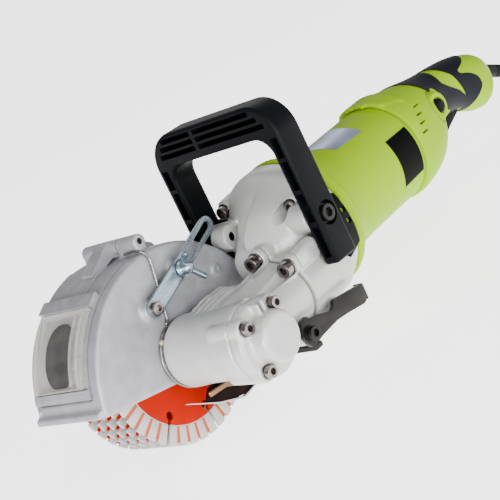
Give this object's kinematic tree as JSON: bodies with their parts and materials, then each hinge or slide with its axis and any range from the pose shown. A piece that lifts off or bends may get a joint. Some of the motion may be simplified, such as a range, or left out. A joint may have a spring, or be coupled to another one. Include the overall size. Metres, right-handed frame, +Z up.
{
  "type": "wall chaser",
  "caption": "Hand-held wall chaser with a stack of slotted diamond blades under a swinging guard with a window door, a gear head, D-handle, motor housing and rear grip.",
  "frame": {"origin": "centre of the bounding box at its lowest level, the cord left out; the blades stand on that level", "axes": "+X forward along the motor axis, +Y along the spindle towards the gear-case cover, +Z up"},
  "size_m": [0.7672, 0.2524, 0.2],
  "materials": {
    "green_plastic": "fine grain",
    "black_plastic": "fine grain",
    "rubber": "soft matte",
    "painted_casting": "satin silver-grey paint",
    "bare_casting": "as cast, brushed",
    "steel": "machined",
    "zinc_steel": "zinc plated",
    "dark_steel": "blackened",
    "blade": "orange core, bare diamond rim",
    "copper": "copper segments",
    "clear_plastic": "clear"
  },
  "bodies": {
    "frame": {"gear_head": "painted_casting", "gear_case": "painted_casting", "case_cover": "painted_casting", "cover_screw_1": "dark_steel", "cover_screw_2": "dark_steel", "cover_screw_3": "dark_steel", "lever_bolt": "dark_steel", "case_bolt_1": "dark_steel", "case_bolt_2": "dark_steel", "flange_screw": "steel", "d_handle": "black_plastic", "handle_bolt_left": "dark_steel", "handle_bolt_right": "dark_steel", "motor_housing": "green_plastic", "stator": "dark_steel", "front_motor_bearing": "steel", "rear_motor_bearing": "steel", "rear_handle_left": "green_plastic", "rear_handle_right": "green_plastic", "grip_sleeve": "rubber", "switch_body": "black_plastic", "strain_relief": "rubber", "cord_tube": "rubber", "cord_coil": "rubber", "plug": "black_plastic", "spindle_bearing_inner": "steel", "spindle_bearing_outer": "steel", "layshaft_bearing_front": "steel", "layshaft_bearing_rear": "steel"},
    "blade_stack": {"blade_1": "blade", "blade_2": "blade", "blade_3": "blade", "blade_4": "blade", "blade_5": "blade", "blade_spacer_1": "steel", "blade_spacer_2": "steel", "blade_spacer_3": "steel", "blade_spacer_4": "steel", "inner_flange": "steel", "outer_flange": "steel", "spindle": "steel", "spindle_nut": "steel", "spindle_bevel_gear": "steel"},
    "second_shaft": {"layshaft": "steel", "layshaft_gear": "steel"},
    "rotor": {"rotor_shaft": "steel", "rotor_core": "dark_steel", "commutator": "copper", "fan": "black_plastic"},
    "guard": {"guard_shell": "bare_casting", "guard_spring": "steel", "slotted_strap": "zinc_steel", "strap_screw": "steel", "hinge_pin": "steel"},
    "window_door": {"window_frame": "bare_casting", "window_lens": "clear_plastic"},
    "wing": {"wing_bolt": "zinc_steel"},
    "lever": {"lock_lever": "dark_steel"},
    "trigger_key": {"trigger": "black_plastic"},
    "button": {"lock_button": "black_plastic"}
  },
  "joints": [
    {"name": "blade_spin", "type": "hinge", "parent": "frame", "child": "blade_stack", "pos_m": [0.16938, -0.0249, 0.06647], "axis": [0, 1, 0], "continuous": true},
    {"name": "layshaft_spin", "type": "hinge", "parent": "frame", "child": "second_shaft", "pos_m": [0.10938, 0.0351, 0.06647], "axis": [1, 0, 0], "continuous": true},
    {"name": "rotor_spin", "type": "hinge", "parent": "frame", "child": "rotor", "pos_m": [-0.02062, 0.0111, 0.08947], "axis": [1, 0, 0], "continuous": true},
    {"name": "guard_swing", "type": "hinge", "parent": "frame", "child": "guard", "pos_m": [0.16938, -0.0249, 0.06647], "axis": [0, -1, 0], "range_deg": [0, 15]},
    {"name": "window_open", "type": "hinge", "parent": "guard", "child": "window_door", "pos_m": [0.15538, -0.0249, 0.15097], "axis": [0, -1, 0], "range_deg": [0, 105]},
    {"name": "wing_bolt_turn", "type": "hinge", "parent": "guard", "child": "wing", "pos_m": [0.14308, -0.0099, 0.11907], "axis": [0, 1, 0], "range_deg": [-180, 180]},
    {"name": "lock_lever_press", "type": "hinge", "parent": "frame", "child": "lever", "pos_m": [0.12738, 0.0651, 0.04397], "axis": [0, -1, 0], "range_deg": [0, 6], "stiffness_Nm_per_rad": 0.6, "springref_deg": -20.05},
    {"name": "trigger_pull", "type": "hinge", "parent": "frame", "child": "trigger_key", "pos_m": [-0.19262, 0.0111, 0.08097], "axis": [0, -1, 0], "range_deg": [0, 7], "stiffness_Nm_per_rad": 0.5, "springref_deg": -17.19},
    {"name": "lock_button_press", "type": "slide", "parent": "frame", "child": "button", "axis": [0, -1, 0], "range_m": [0, 0.003], "stiffness_N_per_m": 400, "springref_m": -0.002}
  ],
  "couplings": [
    {"joint": "layshaft_spin", "follows": "blade_spin", "ratio": 1.8182},
    {"joint": "rotor_spin", "follows": "blade_spin", "ratio": -3.6364}
  ]
}
